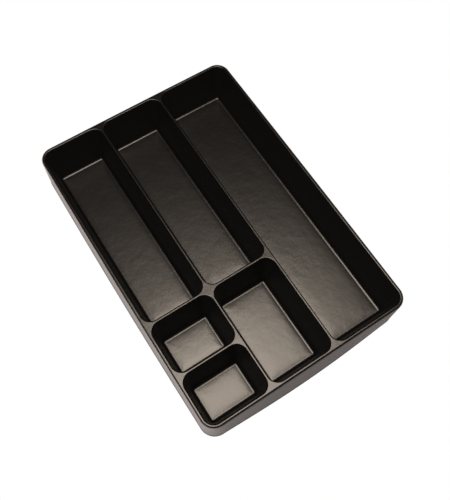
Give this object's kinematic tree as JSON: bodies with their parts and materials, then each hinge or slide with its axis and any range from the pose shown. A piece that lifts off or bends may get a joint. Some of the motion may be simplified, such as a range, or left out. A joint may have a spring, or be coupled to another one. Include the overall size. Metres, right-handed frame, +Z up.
{
  "type": "thermoformed plastic tray",
  "caption": "Shallow oblong black plastic tray, formed from thin sheet, with open pockets of several sizes, drafted walls, narrow flat webs and a flared skirt.",
  "frame": {"origin": "middle of the tray's outline, on the surface that it stands on", "axes": "+X across the tray's width, towards the full-length pocket; +Y along its length, from the small pockets to the back; +Z up"},
  "size_m": [0.246, 0.357, 0.0518],
  "materials": {
    "tray_plastic": "satin black styrene sheet"
  },
  "bodies": {
    "root": {"tray": "tray_plastic"}
  },
  "joints": []
}
